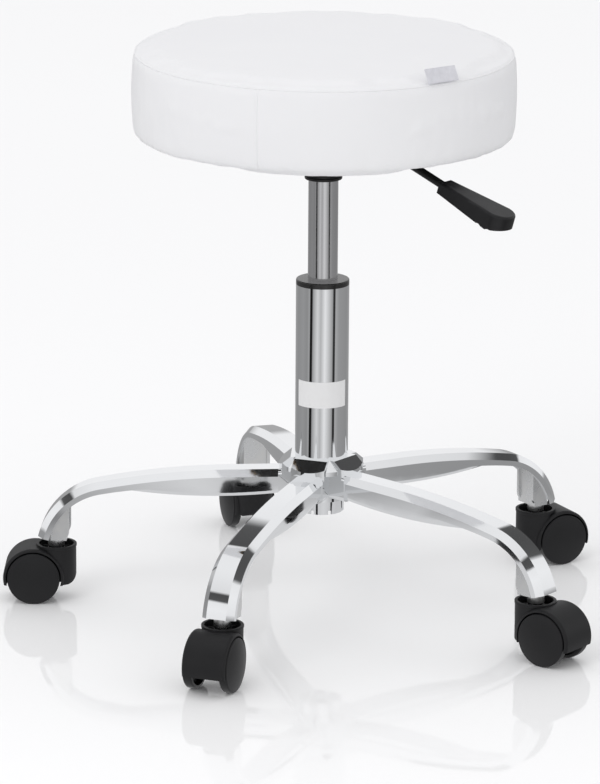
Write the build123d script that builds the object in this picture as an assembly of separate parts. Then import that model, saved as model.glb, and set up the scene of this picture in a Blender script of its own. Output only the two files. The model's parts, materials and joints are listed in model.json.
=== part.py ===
"""Pedicure stool: round padded seat on a gas lift, chromed five-leg base, twin-wheel casters.

Millimetres, +Z up. The origin is on the column's axis at floor level. The stool is modelled with
its lift part of the way up, and every piece is one node in parts/.
"""
from build123d import *

import os
from math import cos, radians, sin

# ---------------------------------------------------------------- overall sizes
LEG_COUNT = 5
FIRST_LEG_AZIMUTH = 177.6       # direction of leg 1, degrees from +X
CASTER_CIRCLE = 252.0           # radius of the circle through the caster stems
TRAIL_AZIMUTHS = (180.0, 250.0, -38.0, 28.0, 109.0)     # way each caster trails at rest
SEAT_RADIUS = 179.0
SEAT_THICKNESS = 81.0
SEAT_CLEAR = 136.3              # seat underside above the column's top, at rest

# ---------------------------------------------------------------- clearances
RUN = 0.05                      # radial gap of a running fit
GAP = 0.3                       # gap between pieces that move past each other
LAP = 1.0                       # how far a cutting tool runs past the face it cuts

# ---------------------------------------------------------------- casters
WHEEL_RADIUS = 25.0
WHEEL_SHOULDER = 14.0           # wheel hub's inner end to the tread's outer edge
TREAD = 8.5                     # tread width of one wheel
WHEEL_DOME = 3.6                # how far the outer face bulges
WHEEL_WALL = 3.0
TREAD_EDGE = 1.5                # rounding of the tread's edges
WHEEL_HUB_RADIUS = 7.0
WEB_HALF = 7.5                  # half width of the housing's middle web
HOOD_GAP = 1.4                  # radial room between wheel and hood
HOOD_WALL = 2.6
HOOD_HALF = 20.8                # half width of the hood
HOOD_EDGE = 3.0                 # rounding of the hood's outer edges
HOOD_SKIRT = 6.8                # hood's lower edge under the axle
TRAIL = 21.0                    # stem axis to axle
AXLE_RADIUS = 3.0
CUP_RADIUS = 18.9
CUP_WALL = 2.3
CUP_RISE = 1.2                  # cup's rim above the hood
CUP_DEPTH = 7.5
CUP_CORNER = 8.0
BEAD = 0.5                      # rim bead round the cup's mouth
BEAD_HEIGHT = 2.6
BEAD_EDGE = 0.45
RIB = 1.4
RIB_COUNT = 6
BOSS_RADIUS = 8.0
BOSS_DROP = 4.0                 # boss top under the cup's rim
PIN_RADIUS = 4.5                # stem's lower pin, in the housing
PIN_LENGTH = 26.0
FLANGE_RADIUS = 7.4
FLANGE_HEIGHT = 2.0
STEM_RADIUS = 5.5               # stem's upper shank, in the leg's socket
STEM_LENGTH = 30.0
GROOVE_DEPTH = 0.9
GROOVE_HEIGHT = 3.0
GROOVE_DROP = 10.0              # groove top under the shank's top

# ---------------------------------------------------------------- caster sockets
SOCKET_WALL = 2.4
SOCKET_HEIGHT = 26.5
SOCKET_GAP = 0.1                # between the shank and the socket's bore
CHEEK = 3.0
CHEEK_CLEAR = 6.0               # cheek's lower edge above the cup's rim
CHEEK_BACK = 13.0               # cheek's reach towards the hub from the stem
CHEEK_FRONT = 4.0
CHEEK_ROUND = 9.0

# ---------------------------------------------------------------- legs
LEG_WIDTH = 31.0
LEG_WALL = 2.0
LEG_RISE = 80.0                 # leg's top at the hub, above the cup's rim
LEG_BEVEL = 6.0                 # flat bevel along the leg's long top edges, inwards and down
LEG_SLOPE = 2.0                 # fall of the straight run, degrees
LEG_BEND_1 = (760.0, 9.5)       # outer radius and angle of the gentle bend
LEG_BEND_2 = (73.7, 64.6)       # outer radius and angle of the bend over the caster
LEG_TIP = 16.6                  # leg's tip past the stem axis
SKIRT_DEPTH = 11.0              # depth of the open channel's sides at the tip
SKIRT_AT_HUB = 15.0             # depth of the upper shell at the hub
LOBE_AT_HUB = 23.2              # leg's whole height at the hub
LOBE_BELLY = (122.0, 27.5)      # lowest point: how far inside the stem, and under the leg's top
LOBE_END = (64.0, 22.8)         # where the lower half runs out: the same two measures
LOBE_EDGE = 4.0

# ---------------------------------------------------------------- hub
HUB_FACE = 40.0                 # where the legs butt
HUB_RISE = 14.0                 # hub's top above the legs' top
HUB_RIM_RADIUS = 28.5
HUB_SHOULDER_RISE = 4.5         # cone's foot above the legs' top
HUB_SKIRT_RADIUS = 36.0
HUB_SKIRT_RISE = 0.5            # skirt's lower edge above the legs' top
HUB_SKIRT_SLOPE = 4.0           # height of the skirt's sloping underside
HUB_BARREL_RADIUS = 25.0
HUB_HEIGHT = 42.0
HUB_BLOCK_EDGE = 5.0
HUB_BLOCK_LAP = 1.0             # each leg face is this much larger than the leg, all round

# ---------------------------------------------------------------- column
TUBE_RADIUS = 25.0
TUBE_WALL = 1.8
TUBE_FOOT_RADIUS = 21.6         # radius at the lower end of the taper
TUBE_BELOW = 13.0               # tube's reach under the hub
TUBE_LENGTH = 219.7
SLOT_COUNT = 8
SLOT_WIDTH = 3.0
SLOT_HEIGHT = 8.0
BUSH_FLANGE = 5.0
BUSH_EDGE = 1.2
BUSH_LENGTH = 75.0
BASE_PLATE = 4.0
BASE_PLATE_DROP = 4.0           # plate's underside above the tube's end
RACE = 1.5
RACE_RADIUS = 12.0
BALL_RADIUS = 2.0
BALL_COUNT = 8
BALL_CIRCLE = 8.6
CAGE = 2.2
ROD_RADIUS = 5.0
ROD_FOOT_RADIUS = 4.0
CLIP = 1.0
CLIP_RADIUS = 7.5
CLIP_GROOVE = 1.0
BUMPER_HEIGHT = 10.0
BUMPER_RADIUS = 11.0
LABEL = (44.0, 25.0, 0.15)      # blank label on the tube: arc width, height, thickness
LABEL_DROP = 114.7              # label's lower edge under the tube's top

# ---------------------------------------------------------------- gas cylinder
LIFT_DOWN = 85.0                # travel below the modelled height
LIFT_UP = 45.0                  # travel above it
CYLINDER_RADIUS = 14.0
CYLINDER_WALL = 2.0
END_PLAY = 0.6                  # room left at each end of the travel
TAPER_DRAFT = 0.8               # how much narrower the cylinder's upper end is
TAPER_LENGTH = 24.0
GUIDE_HEIGHT = 14.0
SEAL_HEIGHT = 5.0
VALVE_HEIGHT = 26.0
PISTON_HEIGHT = 10.0
PISTON_GROOVE = (3.0, 1.5)      # seal groove: height and depth
RELEASE_RADIUS = 3.0
RELEASE_DEPTH = 20.0
RELEASE_EDGE = 1.0

# ---------------------------------------------------------------- seat mechanism
PLATE_HALF = 75.0
PLATE = 2.5
PLATE_CORNER = 10.0
CHANNEL_HALF_LENGTH = 42.0
CHANNEL_HALF_WIDTH = 22.0
CHANNEL_DEPTH = 26.0
CHANNEL_CORNER = 3.5
TAPER_SOCKET_WALL = 2.6
SOCKET_BELOW = 13.0             # socket's reach under the channel
SOCKET_ABOVE = 6.0              # and above the channel's floor
SOCKET_BEAD = 1.0
LEVER_AZIMUTH = -38.0
LEVER_RADIUS = 3.75
LEVER_DROP = 6.0                # lever's axis under the plate, over the release pin
LEVER_INNER = 8.0               # lever's reach past the column's axis
LEVER_ELBOW = 93.0
LEVER_INNER_SLOPE = 1.5         # degrees down, inside the elbow
LEVER_SLOPE = 21.0              # degrees down, outside it
LEVER_BEND = 26.0
LEVER_TANG = 30.0               # rod's length inside the paddle
PIVOT_REACH = 34.0              # pivot from the column's axis
PIVOT_RADIUS = 2.5
PIVOT_BOSS = (5.4, 10.0)        # radius and width of the lever's boss at the pivot
PIVOT_HEAD = (4.2, 2.0)
PADDLE_BACK = 40.0              # paddle's inner end inside the seat's rim
PADDLE_LENGTH = 80.0
PADDLE_WIDTHS = (17.0, 30.0)    # inner end and tip
PADDLE_DEPTHS = (11.0, 17.0)
PADDLE_BELLY = (0.55, 0.9)      # lower line's corner: shares of the length and the tip's depth
PADDLE_NOSE = 0.75              # depth of the tip's end face, as a share of the tip's depth
PADDLE_DROP = 17.0              # paddle's slope, degrees
PADDLE_EDGE = 2.5
GRIP_RADIUS = 5.0
GRIP_DEPTH = 1.6
GRIP_PLACES = (0.52, 0.68, 0.84)        # shares of the paddle's length
BOLT_HALF = 60.0                # bolts at plus and minus this, both ways
BOLT_RADIUS = 3.0
BOLT_HEAD = (6.5, 4.0)
BOLT_REACH = 4.0                # bolt's end past the board
NUT_BARREL_RADIUS = 4.2
NUT_FLANGE = (9.5, 1.4)
NUT_LENGTH = 8.0

# ---------------------------------------------------------------- cushion
BOARD = 12.0
COVER = 1.2
COVER_TURN = 36.0               # width of cover turned in under the board
CLOTH = 0.6
SEAT_EDGE = 5.0                 # rounding of the seat's rim
TAB = (34.0, 14.0, 0.9)         # label tab: width, height, thickness
TAB_AZIMUTH = -53.0
TAB_LEAN = 28.0                 # degrees inwards from upright
TAB_SINK = 1.5                  # tab's foot under the seat's top and inside its rim

# ---------------------------------------------------------------- worked out from the above
AXLE_Z = WHEEL_RADIUS
HOOD_INNER = WHEEL_RADIUS + HOOD_GAP
HOOD_OUTER = HOOD_INNER + HOOD_WALL
HOOD_BOTTOM = AXLE_Z - HOOD_SKIRT
CUP_TOP = AXLE_Z + HOOD_OUTER + CUP_RISE
WHEEL_INNER = WEB_HALF + GAP
BOSS_TOP = CUP_TOP - BOSS_DROP
FLANGE_FOOT = BOSS_TOP + GAP
SOCKET_FOOT = FLANGE_FOOT + FLANGE_HEIGHT
SOCKET_BORE = STEM_RADIUS + SOCKET_GAP
SLEEVE_RADIUS = SOCKET_BORE + SOCKET_WALL
STEM_TOP = SOCKET_FOOT + STEM_LENGTH
CHEEK_FOOT = CUP_TOP + CHEEK_CLEAR
LEG_HALF = LEG_WIDTH / 2
LEG_INSIDE = LEG_HALF - LEG_WALL
BEVEL_INSIDE = LEG_BEVEL - LEG_WALL * (2 - 2 ** 0.5)
LEG_TOP = CUP_TOP + LEG_RISE
HUB_TOP = LEG_TOP + HUB_RISE
HUB_BOTTOM = HUB_TOP - HUB_HEIGHT
HUB_SHOULDER = LEG_TOP + HUB_SHOULDER_RISE
HUB_SKIRT_FOOT = LEG_TOP + HUB_SKIRT_RISE
TUBE_BOTTOM = HUB_BOTTOM - TUBE_BELOW
TUBE_TOP = TUBE_BOTTOM + TUBE_LENGTH
LABEL_FOOT = TUBE_TOP - LABEL_DROP
BUSH_TOP = TUBE_TOP + BUSH_FLANGE
TUBE_BORE = TUBE_RADIUS - TUBE_WALL
TAPER_FOOT = HUB_BOTTOM
PLATE_FOOT = TUBE_BOTTOM + BASE_PLATE_DROP
RACE_FOOT = PLATE_FOOT + BASE_PLATE
BALL_FOOT = RACE_FOOT + RACE
TOP_RACE_FOOT = BALL_FOOT + 2 * BALL_RADIUS
ROD_SHOULDER = TOP_RACE_FOOT + RACE
BUMPER_TOP = ROD_SHOULDER + BUMPER_HEIGHT
SEAT_BOTTOM = BUSH_TOP + SEAT_CLEAR
SEAT_TOP = SEAT_BOTTOM + SEAT_THICKNESS
BOARD_FOOT = SEAT_BOTTOM + COVER
BOARD_TOP = BOARD_FOOT + BOARD
PLATE_TOP = BOARD_FOOT - CLOTH
NUT_FOOT = BOARD_TOP - NUT_LENGTH
PLATE_UNDER = PLATE_TOP - PLATE
CHANNEL_FLOOR = PLATE_UNDER - CHANNEL_DEPTH
SOCKET_BOTTOM = CHANNEL_FLOOR - SOCKET_BELOW
SOCKET_TOP = CHANNEL_FLOOR + PLATE + SOCKET_ABOVE
LEVER_Z = PLATE_UNDER - LEVER_DROP
PADDLE_START = SEAT_RADIUS - PADDLE_BACK
CYLINDER_TOP = SOCKET_TOP
CYLINDER_BOTTOM = BUMPER_TOP + LIFT_DOWN + END_PLAY
CYLINDER_BORE = CYLINDER_RADIUS - CYLINDER_WALL
TAPER_RADIUS = CYLINDER_RADIUS - TAPER_DRAFT
SOCKET_RADIUS = CYLINDER_RADIUS + TAPER_SOCKET_WALL
VALVE_FOOT = CYLINDER_TOP - VALVE_HEIGHT
PISTON_FOOT = CYLINDER_BOTTOM + SEAL_HEIGHT + GUIDE_HEIGHT + LIFT_UP + 2 * END_PLAY
PISTON_TOP = PISTON_FOOT + PISTON_HEIGHT


def save(shape, name):
    """Write one node: a solid, or a list of separate solids."""
    solids = shape if isinstance(shape, list) else [shape]
    pieces = [solid for item in solids for solid in item.solids()]
    whole = pieces[0] if len(pieces) == 1 else Compound(children=pieces)
    export_step(whole, f"parts/{name}.step")


def disc(radius, low, high):
    """Upright cylinder on the Z axis between two heights."""
    return Pos(0, 0, (low + high) / 2) * Cylinder(radius, high - low)


def ring(outer, inner, low, high):
    """Upright tube on the Z axis between two heights."""
    return disc(outer, low, high) - disc(inner, low - LAP, high + LAP)


def cross_disc(radius, centre, low, high):
    """Cylinder along Y through centre (x, z), between two places on Y."""
    middle = Pos(centre[0], (low + high) / 2, centre[1])
    return middle * (Rot(90, 0, 0) * Cylinder(radius, high - low))


def slab(face, half):
    """Side outline, drawn in X and Z, given an even width about the XZ plane."""
    return extrude(Plane.XZ.offset(-half) * face, 2 * half)


def turned(profile):
    """Solid of revolution about Z of a closed outline of (radius, height) points."""
    return revolve(Plane.XZ * make_face(Polyline(*profile, close=True)), Axis.Z)


def leg_azimuth(index):
    return FIRST_LEG_AZIMUTH + index * 360.0 / LEG_COUNT


def at_leg(shape, index):
    """Turn a shape that was made along +X to a leg's own direction."""
    return Rot(0, 0, leg_azimuth(index)) * shape


def at_caster(shape, index):
    """Place a shape made round a stem axis, trailing along +X, at its own caster."""
    angle = radians(leg_azimuth(index))
    spot = Pos(CASTER_CIRCLE * cos(angle), CASTER_CIRCLE * sin(angle), 0)
    return spot * (Rot(0, 0, TRAIL_AZIMUTHS[index]) * shape)


# ---------------------------------------------------------------- legs
def leg_crown(depth):
    """Points of the leg's top line, or of a line this deep under it: (x, z) from the hub outwards.

    They are the start and end of the straight run, then the middle and end of each tangent bend.
    """
    bends = [(radius - depth, angle) for radius, angle in (LEG_BEND_1, LEG_BEND_2)]
    angle = radians(LEG_SLOPE)
    reach = 0.0
    for radius, turn in (LEG_BEND_1, LEG_BEND_2):
        reach += radius * (sin(angle + radians(turn)) - sin(angle))
        angle += radians(turn)
    run_end = CASTER_CIRCLE + LEG_TIP - reach
    slope = radians(LEG_SLOPE)
    top = LEG_TOP - (run_end - HUB_FACE) * sin(slope) / cos(slope)
    x, z = run_end - depth * sin(slope), top - depth * cos(slope)
    start = (HUB_FACE, z + (x - HUB_FACE) * sin(slope) / cos(slope))
    points = [start, (x, z)]
    angle = slope
    for radius, turn in bends:
        for part in (0.5, 1.0):
            new = angle + radians(turn) * part
            points.append((x + radius * (sin(new) - sin(angle)),
                           z - radius * (cos(angle) - cos(new))))
        x, z = points[-1]
        angle += radians(turn)
    return points


def crown_line(depth):
    """Edges of the leg's top line at a depth, from the hub to the tip."""
    start, run_end, middle_1, end_1, middle_2, end_2 = leg_crown(depth)
    return [Line(start, run_end), ThreePointArc(run_end, middle_1, end_1),
            ThreePointArc(end_1, middle_2, end_2)]


def shell_face():
    """Side outline of the leg's upper shell: full depth at the hub, a shallow skirt at the tip."""
    outer = leg_crown(0.0)
    inner = leg_crown(SKIRT_DEPTH)
    hub_low = (HUB_FACE, outer[0][1] - SKIRT_AT_HUB)
    slope = radians(LEG_SLOPE)
    bend = radians(LEG_SLOPE + LEG_BEND_1[1])
    under = [
        Spline(hub_low, inner[3], tangents=[(cos(slope), -sin(slope)), (cos(bend), -sin(bend))]),
        ThreePointArc(inner[3], inner[4], inner[5]),
    ]
    ends = [Line(outer[5], inner[5]), Line(outer[0], hub_low)]
    return make_face(crown_line(0.0) + under + ends)


def lobe_line(lift):
    """Under line of the leg's lower half, raised by lift: its ends and its lowest point."""
    spots = ((CASTER_CIRCLE - HUB_FACE, LOBE_AT_HUB), LOBE_BELLY, LOBE_END)
    return [(CASTER_CIRCLE - inside, LEG_TOP - depth + lift) for inside, depth in spots]


def lobe_face(lift):
    """Side outline of the lower half, from its raised under line up into the shell."""
    low, belly, end = lobe_line(lift)
    crown = leg_crown(SKIRT_AT_HUB / 2)
    return make_face([
        Line(crown[0], low),
        Spline(low, belly, end),
        Line(end, crown[3]),
        ThreePointArc(crown[3], crown[2], crown[1]),
        Line(crown[1], crown[0]),
    ])


def channel_room():
    """Space inside the leg's shell, open downwards, that the caster's socket is welded into."""
    crown = leg_crown(LEG_WALL)
    floor = CHEEK_FOOT - 4 * LEG_WALL
    lines = crown_line(LEG_WALL) + [
        Line(crown[5], (crown[5][0], floor)),
        Line((crown[5][0], floor), (HUB_FACE, floor)),
        Line((HUB_FACE, floor), crown[0]),
    ]
    room = slab(make_face(lines), LEG_INSIDE)
    return chamfer([edge for edge in room.edges() if on_crown(edge, LEG_INSIDE)], BEVEL_INSIDE)


def leg():
    """Chromed leg: pressed upper shell, and a lower half that fits between its sides at the hub."""
    shell = slab(shell_face(), LEG_HALF)
    shell = chamfer([edge for edge in shell.edges() if on_crown(edge, LEG_HALF)], LEG_BEVEL)
    lobe = slab(lobe_face(0.0), LEG_INSIDE)
    lobe = fillet([edge for edge in lobe.edges() if on_belly(edge, LEG_INSIDE)], LOBE_EDGE)
    room = slab(lobe_face(LEG_WALL), LEG_INSIDE - LEG_WALL)
    return (shell - channel_room()) + (lobe - room)


def on_crown(edge, half):
    """True for the long edges of the leg's top line, at this half width."""
    middle = edge @ 0.5
    crown = leg_crown(SKIRT_DEPTH / 2)
    on_side = abs(abs(middle.Y) - half) < RUN
    return on_side and edge.length > 2 * SKIRT_DEPTH and middle.Z > height_on(crown, middle.X)


def on_belly(edge, half):
    """True for the two long edges of the lower half's under line."""
    middle = edge @ 0.5
    long = edge.length > (CASTER_CIRCLE - HUB_FACE) / 3
    return long and abs(abs(middle.Y) - half) < RUN and middle.Z < LEG_TOP - LOBE_AT_HUB


def height_on(points, x):
    """Height of a run of points at x, in straight steps."""
    for (x0, z0), (x1, z1) in zip(points, points[1:]):
        if x0 <= x <= x1:
            return z0 + (z1 - z0) * (x - x0) / (x1 - x0)
    return points[-1][1]


# ---------------------------------------------------------------- hub and column
def taper_radius(height):
    """Outer radius of the column tube's tapered lower end."""
    share = (height - TAPER_FOOT) / (HUB_TOP - TAPER_FOOT)
    return TUBE_FOOT_RADIUS + (TUBE_RADIUS - TUBE_FOOT_RADIUS) * min(max(share, 0.0), 1.0)


def hub():
    """Chromed hub: tapered barrel, sloping shoulder and one square face for each leg."""
    body = turned([
        (0, HUB_BOTTOM), (HUB_BARREL_RADIUS, HUB_BOTTOM),
        (HUB_BARREL_RADIUS, HUB_SKIRT_FOOT - HUB_SKIRT_SLOPE),
        (HUB_SKIRT_RADIUS, HUB_SKIRT_FOOT), (HUB_SKIRT_RADIUS, HUB_SHOULDER),
        (HUB_RIM_RADIUS, HUB_TOP), (0, HUB_TOP),
    ])
    half = LEG_HALF + HUB_BLOCK_LAP
    top = LEG_TOP + HUB_BLOCK_LAP
    foot = LEG_TOP - LOBE_AT_HUB - HUB_BLOCK_LAP
    block = Pos(HUB_FACE / 2, 0, (top + foot) / 2) * Box(HUB_FACE, 2 * half, top - foot)
    block = fillet(block.edges().filter_by(Axis.X), HUB_BLOCK_EDGE)
    roof = slab(make_face(Polyline(
        (0, HUB_TOP), (HUB_RIM_RADIUS, HUB_TOP), (HUB_FACE, HUB_SHOULDER),
        (HUB_FACE, top - HUB_BLOCK_EDGE), (0, top - HUB_BLOCK_EDGE), close=True)), half)
    wedge = Pos(0, 0, HUB_BOTTOM) * Cylinder(HUB_FACE, 2 * HUB_TOP)
    for index in range(LEG_COUNT):
        body += at_leg(block, index)
        body += at_leg(roof & wedge, index)
    bore = turned([
        (0, HUB_BOTTOM - LAP), (taper_radius(HUB_BOTTOM), HUB_BOTTOM - LAP),
        (taper_radius(HUB_BOTTOM), HUB_BOTTOM), (TUBE_RADIUS, HUB_TOP),
        (TUBE_RADIUS, HUB_TOP + LAP), (0, HUB_TOP + LAP),
    ])
    return body - bore


def column_tube():
    """Chromed outer tube, tapered into the hub, its lower end cut into crimping tabs."""
    foot = taper_radius(TUBE_BOTTOM)
    tube = turned([
        (foot, TUBE_BOTTOM), (foot, TAPER_FOOT), (TUBE_RADIUS, HUB_TOP), (TUBE_RADIUS, TUBE_TOP),
        (TUBE_BORE, TUBE_TOP), (TUBE_BORE, HUB_TOP), (foot - TUBE_WALL, TAPER_FOOT),
        (foot - TUBE_WALL, TUBE_BOTTOM),
    ])
    for index in range(SLOT_COUNT // 2):
        slot = Box(3 * TUBE_RADIUS, SLOT_WIDTH, SLOT_HEIGHT)
        turn = Rot(0, 0, (index + 0.5) * 360.0 / SLOT_COUNT)
        tube -= Pos(0, 0, TUBE_BOTTOM - SLOT_HEIGHT / 2 + BASE_PLATE_DROP - GAP) * (turn * slot)
    return tube


def tube_label():
    """Blank label on the tube, facing the front."""
    width, height, thickness = LABEL
    sleeve = ring(TUBE_RADIUS + thickness, TUBE_RADIUS, LABEL_FOOT, LABEL_FOOT + height)
    window = Pos(0, -TUBE_RADIUS, LABEL_FOOT + height / 2) * Box(width, TUBE_RADIUS, 2 * height)
    return sleeve & window


def guide_bush():
    """Plastic bush that guides the gas cylinder, with a flange that caps the tube."""
    bore = CYLINDER_RADIUS + RUN
    flange = disc(TUBE_RADIUS, TUBE_TOP, BUSH_TOP)
    flange = fillet(flange.edges().group_by(Axis.Z)[-1], BUSH_EDGE)
    return flange + disc(TUBE_BORE, TUBE_TOP - BUSH_LENGTH, TUBE_TOP) - disc(bore, 0, 2 * BUSH_TOP)


def tube_base_plate():
    inner = taper_radius(TUBE_BOTTOM) - TUBE_WALL
    return ring(inner, ROD_FOOT_RADIUS + RUN, PLATE_FOOT, RACE_FOOT)


def ball_cage():
    cage = ring(RACE_RADIUS - GAP, ROD_RADIUS, BALL_FOOT + BALL_RADIUS - CAGE / 2,
                BALL_FOOT + BALL_RADIUS + CAGE / 2)
    for spot in PolarLocations(BALL_CIRCLE, BALL_COUNT):
        cage -= spot * (Pos(0, 0, BALL_FOOT) * Cylinder(BALL_RADIUS + RUN, 8 * BALL_RADIUS))
    return cage


def bearing_balls():
    height = BALL_FOOT + BALL_RADIUS
    return [spot * (Pos(0, 0, height) * Sphere(BALL_RADIUS))
            for spot in PolarLocations(BALL_CIRCLE, BALL_COUNT)]


def piston_rod():
    """Rod that stands on the thrust bearing, with a clip groove below the base plate."""
    groove_top = PLATE_FOOT - GAP
    groove_foot = groove_top - CLIP
    end = TUBE_BOTTOM
    return turned([
        (0, end), (ROD_FOOT_RADIUS, end), (ROD_FOOT_RADIUS, groove_foot),
        (ROD_FOOT_RADIUS - CLIP_GROOVE, groove_foot), (ROD_FOOT_RADIUS - CLIP_GROOVE, groove_top),
        (ROD_FOOT_RADIUS, groove_top), (ROD_FOOT_RADIUS, ROD_SHOULDER),
        (ROD_RADIUS, ROD_SHOULDER), (ROD_RADIUS, PISTON_TOP), (0, PISTON_TOP),
    ])


def rod_clip():
    """Spring clip that keeps the rod in the tube, open on one side."""
    top = PLATE_FOOT - GAP
    clip = ring(CLIP_RADIUS, ROD_FOOT_RADIUS - CLIP_GROOVE, top - CLIP, top)
    mouth = Pos(CLIP_RADIUS, 0, top) * Box(2 * CLIP_RADIUS, ROD_FOOT_RADIUS, 4 * CLIP)
    return clip - mouth


def piston():
    height, depth = PISTON_GROOVE
    radius = CYLINDER_BORE - RUN
    middle = (PISTON_FOOT + PISTON_TOP) / 2
    groove = ring(radius + LAP, radius - depth, middle - height / 2, middle + height / 2)
    return ring(radius, ROD_RADIUS, PISTON_FOOT, PISTON_TOP) - groove


def piston_seal():
    height, depth = PISTON_GROOVE
    radius = CYLINDER_BORE - RUN
    middle = (PISTON_FOOT + PISTON_TOP) / 2
    return ring(radius, radius - depth, middle - height / 2, middle + height / 2)


# ---------------------------------------------------------------- gas cylinder
def gas_cylinder():
    """Cylinder that carries the seat: open at the foot, tapered and lipped at its upper end."""
    taper_foot = CYLINDER_TOP - TAPER_LENGTH
    outside = turned([
        (0, CYLINDER_BOTTOM), (CYLINDER_RADIUS, CYLINDER_BOTTOM), (CYLINDER_RADIUS, taper_foot),
        (TAPER_RADIUS, CYLINDER_TOP), (0, CYLINDER_TOP),
    ])
    lip = CYLINDER_TOP - CYLINDER_WALL
    bore = disc(CYLINDER_BORE, CYLINDER_BOTTOM - LAP, VALVE_FOOT)
    pocket = disc(TAPER_RADIUS - CYLINDER_WALL, VALVE_FOOT - LAP, lip)
    return outside - bore - pocket - disc(RELEASE_RADIUS + RUN, 0, 2 * CYLINDER_TOP)


def valve_body():
    """Valve block in the cylinder's top, bored for the release pin."""
    top = CYLINDER_TOP - CYLINDER_WALL
    block = disc(TAPER_RADIUS - CYLINDER_WALL, VALVE_FOOT, top)
    pin_foot = CYLINDER_TOP - RELEASE_DEPTH - 2 * CYLINDER_WALL
    return block - disc(RELEASE_RADIUS + RUN, pin_foot, top + LAP)


def release_pin():
    top = LEVER_Z - LEVER_RADIUS - GAP
    foot = CYLINDER_TOP - RELEASE_DEPTH
    pin = disc(RELEASE_RADIUS, foot, top)
    return fillet(pin.edges().group_by(Axis.Z)[-1], RELEASE_EDGE)


def taper_socket():
    """Black socket welded in the mechanism, that the cylinder's taper is driven into."""
    foot = CYLINDER_TOP - TAPER_LENGTH
    outside = disc(SOCKET_RADIUS, SOCKET_BOTTOM, SOCKET_TOP)
    bead = disc(SOCKET_RADIUS + SOCKET_BEAD, SOCKET_BOTTOM, SOCKET_BOTTOM + 3 * SOCKET_BEAD)
    outside += fillet(bead.edges(), SOCKET_BEAD)
    low = min(SOCKET_BOTTOM, foot) - LAP
    bore = turned([
        (0, low), (CYLINDER_RADIUS, low), (CYLINDER_RADIUS, foot), (TAPER_RADIUS, CYLINDER_TOP),
        (TAPER_RADIUS, CYLINDER_TOP + LAP), (0, CYLINDER_TOP + LAP),
    ])
    return outside - bore


# ---------------------------------------------------------------- seat mechanism
def to_lever(shape):
    """Turn a shape made along +X to the lever's direction."""
    return Rot(0, 0, LEVER_AZIMUTH) * shape


def plate_spots():
    """Places of the four bolts, in the plate's own directions."""
    return [Pos(x, y, 0) for x in (-BOLT_HALF, BOLT_HALF) for y in (-BOLT_HALF, BOLT_HALF)]


def seat_plate():
    """Steel plate under the board with the lever's channel welded to it."""
    plate = Pos(0, 0, PLATE_TOP - PLATE / 2) * Box(2 * PLATE_HALF, 2 * PLATE_HALF, PLATE)
    plate = fillet(plate.edges().filter_by(Axis.Z), PLATE_CORNER)
    middle = PLATE_UNDER - CHANNEL_DEPTH / 2
    channel = Pos(0, 0, middle) * Box(
        2 * CHANNEL_HALF_LENGTH, 2 * CHANNEL_HALF_WIDTH, CHANNEL_DEPTH)
    channel = fillet(channel.edges().group_by(Axis.Z)[0].filter_by(Axis.X), CHANNEL_CORNER)
    inside = Pos(0, 0, middle + PLATE) * Box(
        4 * CHANNEL_HALF_LENGTH, 2 * (CHANNEL_HALF_WIDTH - PLATE), CHANNEL_DEPTH)
    body = plate + (channel - inside)
    body -= disc(SOCKET_RADIUS, CHANNEL_FLOOR - LAP, CHANNEL_FLOOR + 2 * PLATE)
    for spot in plate_spots():
        body -= spot * disc(BOLT_RADIUS + GAP, PLATE_UNDER - LAP, PLATE_TOP + LAP)
    body -= cross_disc(PIVOT_RADIUS, (PIVOT_REACH, LEVER_Z), -PLATE_HALF, PLATE_HALF)
    return to_lever(body)


def lever_pin():
    """Headed pivot pin across the channel."""
    radius, height = PIVOT_HEAD
    spot = (PIVOT_REACH, LEVER_Z)
    side = CHANNEL_HALF_WIDTH
    pin = cross_disc(PIVOT_RADIUS, spot, -side - height, side + height)
    return to_lever(pin + cross_disc(radius, spot, side, side + height))


def lever_points():
    """Centre line of the lever: inner end, elbow and outer end, as (x, z)."""
    inner = radians(LEVER_INNER_SLOPE)
    outer = radians(LEVER_SLOPE)
    elbow_z = LEVER_Z - LEVER_ELBOW * sin(inner) / cos(inner)
    end_x = PADDLE_START + LEVER_TANG * cos(outer)
    end_z = elbow_z - (end_x - LEVER_ELBOW) * sin(outer) / cos(outer)
    return (-LEVER_INNER, LEVER_Z), (LEVER_ELBOW, elbow_z), (end_x, end_z)


def rod_along(radius):
    """Round bar of this radius along the lever's centre line."""
    points = [Vector(x, 0, z) for x, z in lever_points()]
    path = FilletPolyline(*points, radius=LEVER_BEND)
    start = Plane(origin=path @ 0, z_dir=path % 0)
    return sweep(start * Circle(radius), path=path)


def lever_rod():
    radius, width = PIVOT_BOSS
    spot = (PIVOT_REACH, LEVER_Z)
    rod = rod_along(LEVER_RADIUS) + cross_disc(radius, spot, -width / 2, width / 2)
    return to_lever(rod - cross_disc(PIVOT_RADIUS + RUN, spot, -width, width))


def paddle_start_z():
    (_, _), (elbow_x, elbow_z), (end_x, end_z) = lever_points()
    return elbow_z + (end_z - elbow_z) * (PADDLE_START - elbow_x) / (end_x - elbow_x)


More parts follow.
